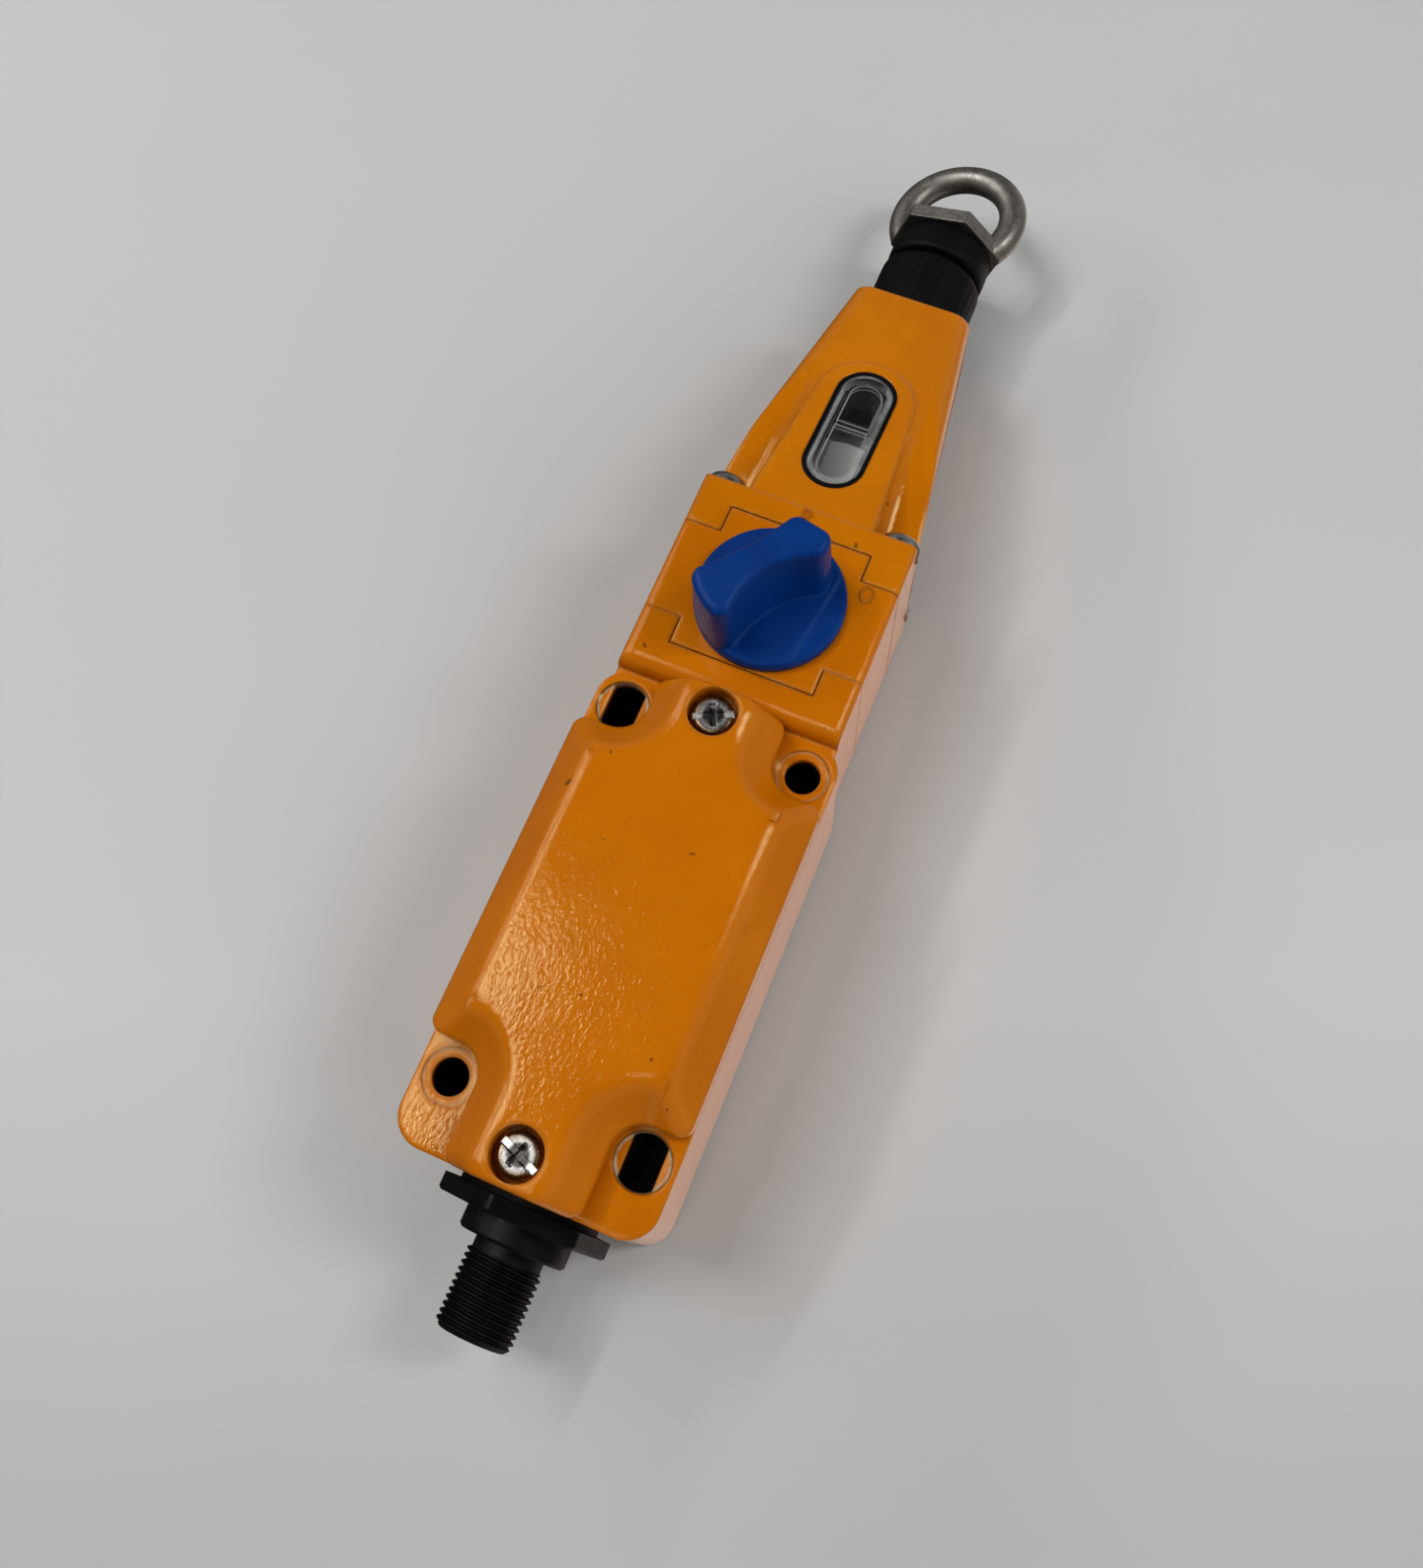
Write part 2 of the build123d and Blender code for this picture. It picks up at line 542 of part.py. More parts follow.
disc_top = KNOB_Z + DISC_H
disc = zcyl(KNOB_R, KNOB_Z, disc_top)
disc = chamfer(disc.edges().group_by(Axis.Z)[-1], 0.9, 0.4)
FACET_X = 0.68 * KNOB_R
facet = Pos(FACET_X, 0, disc_top - 0.2) * Rot(0, 4, -8) * block(0, FAR, -FAR, FAR, 0, FAR)
disc -= facet


def grip_face(k, waist, heel, toe, back, z):
    """Outline of the thumb grip with its tip along +Y; the deep scoop is on +X."""
    end = k * KNOB_R
    a = Vector(heel * end, -end * sqrt(1 - heel ** 2))
    b = Vector(waist * KNOB_R, -0.08 * KNOB_R)
    c = Vector(toe * KNOB_R, 0.57 * KNOB_R)
    d = Vector(0.2 * KNOB_R, 0.895 * k * KNOB_R)
    e = Vector(-0.34 * KNOB_R, 0.71 * k * KNOB_R)
    f = Vector(-back * KNOB_R, 0.02 * KNOB_R)
    g = Vector(-0.56 * end, -end * sqrt(1 - 0.56 ** 2))
    h = Vector(-0.12 * end, -end * sqrt(1 - 0.12 ** 2))
    wire = Wire([ThreePointArc(a, b, c), Line(c, d), Line(d, e), ThreePointArc(e, f, g), ThreePointArc(g, h, a)])
    return Pos(0, 0, z) * Face(wire)


grip = loft([
    grip_face(0.99, 0.175, 0.33, 0.43, 0.42, disc_top - 0.6),
    grip_face(0.975, 0.03, 0.33, 0.34, 0.365, GRIP_TOP)], ruled=True)
grip = fillet(grip.edges().filter_by(lambda e: abs(e.tangent_at(0.5).Z) > 0.9), 2.0)
grip = fillet(grip.edges().group_by(Axis.Z)[-1], 1.2)
GRIP_TURN = -30.0
knob = disc + Rot(0, 0, GRIP_TURN) * grip
SPIGOT_KNOB_R = 1.3
SPINDLE_TOP = disc_top + 3.4
knob = Pos(0, KNOB_Y, 0) * knob
knob -= zcyl(SPIGOT_KNOB_R, KNOB_Z - 1, SPINDLE_TOP, 0, KNOB_Y)
save("reset_knob", knob)

BUSH_LOW = BLOCK_Z - 3.6
CLIP_Z = BUSH_LOW - 1.0
CLIP_H = 0.8
SPINDLE_LOW = WELL_Z + 1.2
CRANK_DIR = radians(105.0)
CRANK_TIP = SLOT_FLOOR + 0.6
crank = zcyl(CRANK_R, CRANK_TIP, SPINDLE_LOW + 3.0, CRANK_E * cos(CRANK_DIR), KNOB_Y + CRANK_E * sin(CRANK_DIR))
spindle = zcyl(SPINDLE_R, SPINDLE_LOW, KNOB_Z, 0, KNOB_Y)
spindle += zcyl(SPIGOT_KNOB_R, KNOB_Z - 1, SPINDLE_TOP, 0, KNOB_Y)
spindle -= crank
spindle -= (zcyl(SPINDLE_R + 1, CLIP_Z, CLIP_Z + CLIP_H, 0, KNOB_Y)
            - zcyl(SPINDLE_R - 0.7, CLIP_Z - 1, CLIP_Z + 2, 0, KNOB_Y))
save("reset_spindle", spindle)
save("crank_pin", crank)
spindle_bush = (zcyl(WELL_R, BUSH_LOW, BLOCK_Z, 0, KNOB_Y)
                - zcyl(SPINDLE_R + RUN_FIT, BUSH_LOW - 1, BLOCK_Z + 1, 0, KNOB_Y))
save("spindle_bush", spindle_bush)
clip = (zcyl(WELL_R - 0.7, CLIP_Z, CLIP_Z + CLIP_H, 0, KNOB_Y)
        - zcyl(SPINDLE_R - 0.7, CLIP_Z - 1, CLIP_Z + 2, 0, KNOB_Y))
clip -= block(-1.4, 1.4, KNOB_Y + 2.0, KNOB_Y + WELL_R + 1, CLIP_Z - 1, CLIP_Z + 2)
save("spindle_clip", clip)

# Return spring of the knob, round the spindle

KNOB_WIRE = 0.6
coil_len = CLIP_Z - 0.5 - WELL_Z
coil_turns = 5.0
knob_spring = spring((SPINDLE_R + WELL_R) / 2, KNOB_WIRE, (coil_len - KNOB_WIRE) / coil_turns, coil_turns)
knob_spring = Pos(0, KNOB_Y, WELL_Z + KNOB_WIRE / 2) * knob_spring
save("knob_spring", knob_spring)

# Contacts

CB_X = CAV_X - 0.4
CB_LOW = -15.0
CB_HIGH = 18.0
CB_BASE = FLOOR + 4.0
CB_WALL = CB_X - 5.5
CB_TOP = 20.0
holder = block(-CB_X, CB_X, CB_LOW, CB_HIGH, FLOOR, CB_BASE)
for sx in (-1, 1):
    xa, xb = sorted((sx * CB_WALL, sx * CB_X))
    holder += block(xa, xb, CB_LOW, CB_HIGH, CB_BASE, CB_TOP)
CONTACT_Y = (-0.5, 7.5)
TERM_X = CB_X - 1.9
for y in BLOCK_SCREW_Y:
    holder -= zcyl(1.5, FLOOR - 1, CB_BASE + 1, 0, y)
strips = []
terminal = []
for sx in (-1, 1):
    for y in CONTACT_Y:
        holder -= zcyl(0.9, CB_TOP - 5, CB_TOP + 1, sx * TERM_X, y)
        xa, xb = sorted((sx * (CB_WALL + 0.2), sx * CB_X))
        strip = block(xa, xb, y - 1.6, y + 1.6, CB_TOP, CB_TOP + 0.8)
        strips.append(strip - zcyl(0.9, CB_TOP - 1, CB_TOP + 2, sx * TERM_X, y))
        pan = zcyl(1.5, CB_TOP + 0.8, CB_TOP + 2.2, sx * TERM_X, y)
        pan -= block(sx * TERM_X - 2, sx * TERM_X + 2, y - 0.25, y + 0.25, CB_TOP + 1.6, CB_TOP + 3)
        terminal.append(pan + zcyl(0.9, CB_TOP - 4.6, CB_TOP + 1, sx * TERM_X, y))
save("contact_block", holder)
save("fixed_contacts", group(strips))
save("terminal_screws", group(terminal))

fix = []
for y in BLOCK_SCREW_Y:
    pan = zcyl(2.5, CB_BASE, CB_BASE + 1.5, 0, y)
    pan = cross_slot(Pos(0, -y, 0) * pan, 1.6, CB_BASE + 1.5, 0.9)
    fix.append(Pos(0, y, 0) * pan + zcyl(1.25, FLOOR - 2.2, CB_BASE + 0.2, 0, y))
save("block_screws", group(fix))
earth = zcyl(2.8, FLOOR, FLOOR + 2.0)
earth = cross_slot(earth, 2.9, FLOOR + 2.0, 1.2) + zcyl(1.5, FLOOR - 2.2, FLOOR + 0.2)
save("earth_screw", Pos(EARTH_X, EARTH_Y, 0) * earth)

CAR_X = CB_WALL - 1.5
CAR_LOW = -12.3
CAR_HIGH = SPIGOT_TOP
CAR_Z0 = CB_BASE + 2.6
CAR_Z1 = CB_TOP + 1.2
carrier = block(-CAR_X, CAR_X, CAR_LOW, CAR_HIGH, CAR_Z0, CAR_Z1)
carrier = chamfer(carrier.edges().filter_by(Axis.Y), 0.8)
carrier -= ycyl(SPIGOT_R, CAR_LOW - 1, CAR_HIGH + 1)
BRIDGE_X = CB_WALL + 1.7
bridges = []
for y in CONTACT_Y:
    strip = block(-BRIDGE_X, BRIDGE_X, y - TRAVEL / 2 - 1.4, y - TRAVEL / 2 + 1.4, CAR_Z1, CAR_Z1 + 0.8)
    bridges.append(strip)
save("contact_carrier", carrier)
save("bridge_contacts", group(bridges))
carrier_clip = ytube(SPIGOT_R + 1.6, SPIGOT_R - 0.6, CLIP_Y - CLIP_T, CLIP_Y)
carrier_clip -= block(-1.2, 1.2, CLIP_Y - 2, CLIP_Y + 1, AXIS_Z + 1.5, AXIS_Z + 9)
save("carrier_clip", carrier_clip)

# Connector

seal_low = BODY_LOW - CON_SEAL
flange_low = seal_low - CON_FLANGE_H
collar_low = flange_low - CON_COLLAR_H
neck_low = collar_low - 1.7
con_seal = ytube(11.0, CON_STUD_R, seal_low, BODY_LOW)
save("connector_seal", con_seal)
flange = extrude(fillet(hexagon(CON_FLANGE_AF).vertices(), 1.2), CON_FLANGE_H)
flange = chamfer(flange.edges().group_by(Axis.Z)[-1], 0.4)
plug = Pos(0, seal_low, AXIS_Z) * Rot(90, 0, 0) * Rot(0, 0, CON_TILT) * flange
plug_collar = ycyl(CON_COLLAR_R, collar_low, flange_low)
plug_collar = chamfer(plug_collar.edges().sort_by(Axis.Y)[:1], 0.4)
plug += plug_collar
plug += ycyl(CON_NECK_R, neck_low, collar_low)
stem = ycyl(CON_THREAD_R, CON_END, neck_low)
stem = chamfer(stem.edges().sort_by(Axis.Y)[:1], 0.8)
plug += stem
plug += ycyl(CON_STUD_R, seal_low, CON_STUD_END)
plug -= ycyl(CON_BORE_R, CON_END - 1, CON_STUD_END + 1)
save("connector_body", plug)
INSERT_LOW = CON_END + 9.0
insert = ycyl(CON_BORE_R, INSERT_LOW, CON_STUD_END)
pins = []
for k in range(5):
    ang = radians(90 * k + 45)
    px = 2.5 * cos(ang) if k < 4 else 0.0
    pz = AXIS_Z + (2.5 * sin(ang) if k < 4 else 0.0)
    pin = ycyl(0.5, CON_END + 1.6, CON_STUD_END + 3.0, px, pz)
    insert -= pin
    pins.append(fillet(pin.edges().sort_by(Axis.Y)[:1], 0.25))
save("connector_insert", insert)
save("connector_pins", group(pins))
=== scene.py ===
import json
import math

import bmesh
import bpy
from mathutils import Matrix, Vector


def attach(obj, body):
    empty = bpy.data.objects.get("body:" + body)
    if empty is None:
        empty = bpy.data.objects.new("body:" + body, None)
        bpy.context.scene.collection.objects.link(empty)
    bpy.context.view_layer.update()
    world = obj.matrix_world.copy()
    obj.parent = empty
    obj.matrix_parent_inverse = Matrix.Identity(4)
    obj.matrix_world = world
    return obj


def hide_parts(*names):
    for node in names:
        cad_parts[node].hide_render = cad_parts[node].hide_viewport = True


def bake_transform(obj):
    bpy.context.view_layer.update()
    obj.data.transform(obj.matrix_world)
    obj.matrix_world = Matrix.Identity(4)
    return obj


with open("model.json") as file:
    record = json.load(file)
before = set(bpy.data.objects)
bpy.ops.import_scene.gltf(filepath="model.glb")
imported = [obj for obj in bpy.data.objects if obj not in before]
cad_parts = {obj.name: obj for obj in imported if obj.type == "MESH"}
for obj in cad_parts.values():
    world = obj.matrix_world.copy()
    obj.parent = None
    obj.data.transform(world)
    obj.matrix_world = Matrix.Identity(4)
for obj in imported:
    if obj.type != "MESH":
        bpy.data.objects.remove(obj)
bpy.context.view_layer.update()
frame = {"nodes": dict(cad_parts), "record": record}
nodes = frame["nodes"]
scene = bpy.context.scene

# Places on the part, in mm. The part's sizes are in mm, the studio's are in metres.

MM = 0.001
AXIS_Z = 14.0
HOLE_X = 15.0
HOLE_Y = 30.0
LID_SCREW_Y = (31.5, -35.8)
WINDOW_Y = 89.7
WINDOW_HALF = 7.8


# Material nodes

# Most of a noise's values lie between these two
NOISE_LOW = 0.3
NOISE_HIGH = 0.7

# Places of the colour sockets on a mix node
MIX_FACTOR = 0
MIX_A = 6
MIX_B = 7
MIX_OUT = 2


def srgb(r, g, b):
    """Linear colour from screen values of 0 to 255."""
    out = []
    for v in (r, g, b):
        v = v / 255.0
        out.append(v / 12.92 if v <= 0.04045 else ((v + 0.055) / 1.055) ** 2.4)
    return (out[0], out[1], out[2], 1.0)


def fill_ramp(ramp, stops):
    """Give a colour ramp these stops; each is a place with a colour or a grey value."""
    elements = ramp.color_ramp.elements
    while len(elements) < len(stops):
        elements.new(0.5)
    for element, (place, value) in zip(elements, stops):
        element.position = place
        element.color = value if isinstance(value, tuple) else (value, value, value, 1.0)


class Paint:
    """One node material with the nodes that the finishes share. Lengths are given in mm."""

    def __init__(self, name):
        self.mat = bpy.data.materials.new(name)
        self.mat.use_nodes = True
        self.tree = self.mat.node_tree
        self.bsdf = self.tree.nodes["Principled BSDF"]
        self.coord = self.node("ShaderNodeTexCoord").outputs["Object"]

    def node(self, kind, **values):
        n = self.tree.nodes.new(kind)
        for key, value in values.items():
            setattr(n, key, value)
        return n

    def link(self, a, b):
        self.tree.links.new(a, b)

    def put(self, value, socket):
        """Set a socket to a fixed value, or link it to another socket."""
        if isinstance(value, (float, tuple)):
            socket.default_value = value
        else:
            self.link(value, socket)

    def shade(self, **values):
        """Feed inputs of the shader; their names have underscores for spaces."""
        for key, value in values.items():
            self.put(value, self.bsdf.inputs[key.replace("_", " ")])

    def noise(self, scale, detail=3.0, rough=0.55, stretch=None):
        n = self.node("ShaderNodeTexNoise")
        n.inputs["Scale"].default_value = scale
        n.inputs["Detail"].default_value = detail
        n.inputs["Roughness"].default_value = rough
        source = self.coord
        if stretch:
            m = self.node("ShaderNodeMapping")
            m.inputs["Scale"].default_value = stretch
            self.link(source, m.inputs["Vector"])
            source = m.outputs["Vector"]
        self.link(source, n.inputs["Vector"])
        return n.outputs["Fac"]

    def ramp(self, value, stops):
        r = self.node("ShaderNodeValToRGB")
        fill_ramp(r, stops)
        self.link(value, r.inputs["Fac"])
        return r.outputs["Color"]

    def step(self, value, start, end, low=0.0, high=1.0):
        """Change from low to high while value goes from start to end."""
        return self.ramp(value, [(start, low), (end, high)])

    def between(self, noise, low, high):
        """Spread a noise between two values or colours."""
        return self.step(noise, NOISE_LOW, NOISE_HIGH, low, high)

    def mix(self, share, a, b):
        m = self.node("ShaderNodeMix", data_type="RGBA")
        for place, value in ((MIX_FACTOR, share), (MIX_A, a), (MIX_B, b)):
            self.put(value, m.inputs[place])
        return m.outputs[MIX_OUT]

    def math(self, op, a, b=0.0):
        m = self.node("ShaderNodeMath", operation=op)
        self.put(a, m.inputs[0])
        self.put(b, m.inputs[1])
        return m.outputs[0]

    def times(self, first, *others):
        for other in others:
            first = self.math("MULTIPLY", first, other)
        return first

    def linear(self, value, slope, start):
        return self.math("ADD", self.times(value, slope), start)

    def axes(self, vector=None):
        """The X, Y and Z sockets of a vector, or of the place on the part, in metres."""
        apart = self.node("ShaderNodeSeparateXYZ")
        self.link(vector or self.coord, apart.inputs[0])
        return apart.outputs

    def normal(self):
        return self.node("ShaderNodeNewGeometry").outputs["Normal"]

    def bevel(self, radius):
        """Normal of the face with its sharp edges rounded off."""
        n = self.node("ShaderNodeBevel", samples=6)
        n.inputs["Radius"].default_value = radius * MM
        return n.outputs["Normal"]

    def round_edges(self, radius):
        self.shade(Normal=self.bevel(radius))

    def edge(self, radius):
        """About 1 on sharp edges, 0 on flat faces."""
        dot = self.node("ShaderNodeVectorMath", operation="DOT_PRODUCT")
        self.link(self.bevel(radius), dot.inputs[0])
        self.link(self.normal(), dot.inputs[1])
        return self.math("SUBTRACT", 1.0, dot.outputs["Value"])

    def corner(self, distance):
        """1 in tight inner corners and recesses, 0 on open faces."""
        n = self.node("ShaderNodeAmbientOcclusion", samples=6)
        n.inputs["Distance"].default_value = distance * MM
        return self.math("SUBTRACT", 1.0, n.outputs["AO"])

    def from_axis(self, x, y):
        """Distance in metres from the upright line through x and y."""
        flat = self.node("ShaderNodeVectorMath", operation="MULTIPLY")
        flat.inputs[1].default_value = (1.0, 1.0, 0.0)
        self.link(self.coord, flat.inputs[0])
        away = self.node("ShaderNodeVectorMath", operation="DISTANCE")
        away.inputs[1].default_value = (x * MM, y * MM, 0.0)
        self.link(flat.outputs["Vector"], away.inputs[0])
        return away.outputs["Value"]

    def from_window(self):
        """Distance in metres from the middle line of the window, seen from above."""
        place = self.axes()
        along = self.math("ABSOLUTE", self.math("SUBTRACT", place["Y"], WINDOW_Y * MM))
        past = self.math("MAXIMUM", self.math("SUBTRACT", along, WINDOW_HALF * MM))
        square = self.math("ADD", self.times(past, past), self.times(place["X"], place["X"]))
        return self.math("SQRT", square)

    def above(self, value, limit, soft):
        """1 where value, in metres, lies past the limit, 0 before it, with a change soft to each side."""
        n = self.node("ShaderNodeMapRange")
        n.inputs["From Min"].default_value = (limit - soft) * MM
        n.inputs["From Max"].default_value = (limit + soft) * MM
        self.link(value, n.inputs["Value"])
        return n.outputs["Result"]

    def below(self, value, limit, soft):
        return self.above(value, limit, -soft)

    def band(self, value, low, high, soft):
        return self.times(self.above(value, low, soft), self.below(value, high, soft))

    def bump(self, height, distance, strength):
        b = self.node("ShaderNodeBump")
        b.inputs["Strength"].default_value = strength
        b.inputs["Distance"].default_value = distance * MM
        self.link(height, b.inputs["Height"])
        previous = self.bsdf.inputs["Normal"].links
        if previous:
            self.link(previous[0].from_socket, b.inputs["Normal"])
        self.shade(Normal=b.outputs["Normal"])


# Yellow paint

PAINT_TONE = (srgb(186, 99, 2), srgb(197, 109, 3))
NOSE_TONE = (srgb(186, 103, 2), srgb(197, 113, 3))
PAINT_TINT = (1.0, 0.88, 0.45, 1.0)
SPECK = srgb(120, 62, 8)
# Dirt and painted shade in tight corners
CORNER_DIRT_AND_SHADE = srgb(96, 46, 6)
SCUFF = srgb(70, 38, 12)
WORN_EDGE = srgb(222, 172, 104)
BARE_METAL = srgb(176, 160, 132)
CUT_LINE = srgb(74, 42, 12)
HOLE_SHADE = srgb(20, 13, 8)
SEAT_SHADE = srgb(24, 22, 20)

# Rings round a fixing hole, and the height below which the hole is dark
BARE_R = 3.65
SPOT_R = 4.05
CUT_R = 4.3
HOLE_SHADE_R = 4.15
HOLE_SHADE_Z = 30.5
WINDOW_SEAT_R = 5.28

# Share of bare metal round the slotted and the round holes
SLOT_WEAR = 1.0
ROUND_WEAR = 0.3
SPOT_FACES = (
    (-HOLE_X, HOLE_Y, SLOT_WEAR),
    (HOLE_X, -HOLE_Y, SLOT_WEAR),
    (HOLE_X, HOLE_Y, ROUND_WEAR),
    (-HOLE_X, -HOLE_Y, ROUND_WEAR),
)


def shade_dirt_and_scuffs(p, base):
    """Dirt and painted shade in tight corners, and scuffs on the upright flanks."""
    # Painted shade: darker where ambient occlusion finds a tight corner
    dirt_and_shade = p.step(p.corner(2.2), 0.3, 0.85, 0.0, 0.75)
    smear = p.step(p.noise(150.0, 4.0), 0.35, 0.65, 0.35, 1.0)
    base = p.mix(p.times(dirt_and_shade, smear), base, CORNER_DIRT_AND_SHADE)
    sideways = p.math("ABSOLUTE", p.axes(p.normal())["X"])
    flank = p.step(sideways, 0.7, 0.9, 0.0, 0.55)
    scuffs = p.step(p.noise(330.0, 5.0, 0.6, (1.0, 1.0, 0.5)), 0.665, 0.7)
    return p.mix(p.times(flank, scuffs), base, SCUFF)


def spot_face(p, base, x, y, wear):
    """Ragged ring of bare metal round a fixing hole, the cut line outside it and painted shade inside the
    hole.
    """
    away = p.from_axis(x, y)
    ragged = p.step(p.noise(900.0), 0.35, 0.6, 0.25, 1.0)
    bare = p.times(p.band(away, BARE_R, SPOT_R, 0.06), ragged, wear)
    base = p.mix(bare, base, BARE_METAL)
    cut = p.times(p.band(away, SPOT_R, CUT_R, 0.06), 0.7 * wear)
    base = p.mix(cut, base, CUT_LINE)
    # Painted shade inside the hole, below a height
    deep = p.below(p.axes()["Z"], HOLE_SHADE_Z, 0.8)
    inside = p.times(p.below(away, HOLE_SHADE_R, 0.05), deep)
    return p.mix(inside, base, HOLE_SHADE)


def yellow_paint(name, tone=PAINT_TONE, soft=1.1, spot_faces=(), window=False):
    """Glossy, slightly rippled paint; soft is the radius that its sharp edges seem to have."""
    p = Paint(name)
    p.round_edges(soft)
    base = p.between(p.noise(70.0, 4.0), *tone)
    base = p.mix(p.step(p.noise(420.0, 2.0), 0.74, 0.765), base, SPECK)
    base = shade_dirt_and_scuffs(p, base)
    worn = p.step(p.edge(0.5), 0.04, 0.2)
    patchy = p.step(p.noise(210.0, 5.0), 0.52, 0.66)
    base = p.mix(p.times(worn, patchy, 0.65), base, WORN_EDGE)
    for x, y, wear in spot_faces:
        base = spot_face(p, base, x, y, wear)
    if window:
        base = p.mix(p.below(p.from_window(), WINDOW_SEAT_R, 0.04), base, SEAT_SHADE)
    p.shade(
        Base_Color=base,
        Roughness=p.between(p.noise(900.0), 0.07, 0.13),
        Specular_IOR_Level=p.step(worn, 0.0, 1.0, 0.45, 1.0),
        Specular_Tint=PAINT_TINT,
    )
    p.bump(p.noise(300.0, 2.0), 0.1, 0.25)
    p.bump(p.noise(1500.0, 2.0, 0.55, (1.0, 0.6, 1.0)), 0.08, 0.45)
    return p.mat


# Plastic, rubber, metal and lens

WHITE_TINT = (1.0, 1.0, 1.0, 1.0)
BLUE_TINT = (0.45, 0.65, 1.0, 1.0)
# Painted shade in the recesses of plain metal
RECESS_SHADE = srgb(24, 22, 20)
METAL_SOFT = 0.25

# Zones of a lid screw's head, painted with light and shade: the recess in painted shade, the ring round it
# as a painted highlight, the falling rim in painted shade, and the slot's ends as a painted reflection
RECESS_R = 1.6
SLOT_END_R = 1.8
RIM_R = 2.2
SLOT_DEPTH = 0.6
SCREW_RING_HIGHLIGHT = (srgb(160, 158, 154), srgb(190, 188, 183))
SCREW_RIM_SHADE = srgb(116, 98, 78)
SCREW_RECESS_SHADE = srgb(78, 76, 73)
SLOT_FLOOR_REFLECTION = srgb(250, 249, 246)

# Radii of the lens's rim, where a pale sheen is painted
LENS_RIM_IN = 3.5
LENS_RIM_OUT = 5.2
LENS_CLEAR = (srgb(236, 238, 238), srgb(246, 247, 247))
LENS_HIGHLIGHT = srgb(212, 213, 212)
LENS_IOR = 1.49


def plastic(name, dark, light, rough, grain, depth,
            edge_colour=None, level=0.4, tint=WHITE_TINT, soft=0.3):
    """Plastic or rubber with a fine grain of this scale and depth, paler on its edges if asked."""
    p = Paint(name)
    p.round_edges(soft)
    base = p.between(p.noise(160.0, 4.0), dark, light)
    if edge_colour:
        worn = p.step(p.edge(0.4), 0.03, 0.2)
        base = p.mix(p.times(worn, 0.25), base, edge_colour)
    p.shade(
        Base_Color=base,
        Roughness=p.between(p.noise(700.0), rough - 0.05, rough + 0.07),
        Specular_IOR_Level=level,
        Specular_Tint=tint,
    )
    p.bump(p.noise(grain, 2.0), depth, 0.6)
    return p.mat


def metal_shade(p, base, smooth, dull):
    """Give a metal its colour, its uneven roughness from smooth to dull, and a fine grain."""
    rough = p.between(p.noise(1400.0, 3.0, 0.6), smooth, dull)
    p.shade(Base_Color=base, Roughness=rough, Metallic=1.0)
    p.bump(p.noise(2600.0, 2.0, 0.5), 0.02, 0.5)


def metal(name, dark, light, rough, recess=None):
    """Plain metal; recess is the colour of the shade painted in its recesses."""
    p = Paint(name)
    p.round_edges(METAL_SOFT)
    base = p.between(p.noise(400.0, 4.0), dark, light)
    if recess:
        # Painted shade: darker where ambient occlusion finds a recess
        base = p.mix(p.step(p.corner(0.9), 0.42, 0.72, 0.0, 0.92), base, recess)
    metal_shade(p, base, rough - 0.07, rough + 0.1)
    return p.mat


def screw_heads(name, slot_z):
    """Metal of the lid screws with painted light: painted shade on the falling rim, a painted highlight on
    the ring, painted shade in the recess and a painted reflection on the bright slot ends.
    """
    p = Paint(name)
    p.round_edges(METAL_SOFT)
    base = p.between(p.noise(400.0, 4.0), *SCREW_RING_HIGHLIGHT)
    away = p.math("MINIMUM", *[p.from_axis(0.0, y) for y in LID_SCREW_Y])
    base = p.mix(p.above(away, RIM_R, 0.3), base, SCREW_RIM_SHADE)
    base = p.mix(p.below(away, RECESS_R, 0.2), base, SCREW_RECESS_SHADE)
    deep = p.below(p.axes()["Z"], slot_z, 0.1)
    base = p.mix(p.times(deep, p.above(away, SLOT_END_R, 0.1)), base, SLOT_FLOOR_REFLECTION)
    metal_shade(p, base, 0.2, 0.36)
    return p.mat


def clear_lens():
    """Clear plastic with painted highlights as pale lines on its edges and a painted pale sheen on its
    rim.
    """
    p = Paint("clear_lens")
    # Painted highlights on the edges and a painted sheen on the rim, mixed as one mask
    line = p.step(p.edge(0.42), 0.015, 0.1)
    clear = p.between(p.noise(300.0), *LENS_CLEAR)
    patchy = p.step(p.noise(260.0), 0.35, 0.65, 0.35, 1.0)
    rim = p.times(p.band(p.from_window(), LENS_RIM_IN, LENS_RIM_OUT, 0.1), patchy)
    line = p.math("MAXIMUM", line, p.times(rim, 0.6))
    p.shade(
        Base_Color=p.mix(line, clear, LENS_HIGHLIGHT),
        Roughness=p.step(p.noise(900.0), 0.4, 0.7, 0.04, 0.1),
        Alpha=p.linear(line, 0.6, 0.14),
        Transmission_Weight=p.math("SUBTRACT", 1.0, p.times(line, 0.8)),
        IOR=LENS_IOR,
    )
    p.bump(p.noise(500.0, 2.0), 0.02, 0.3)
    return p.mat


# One material for each slot of the record, and finishes of their own for four nodes

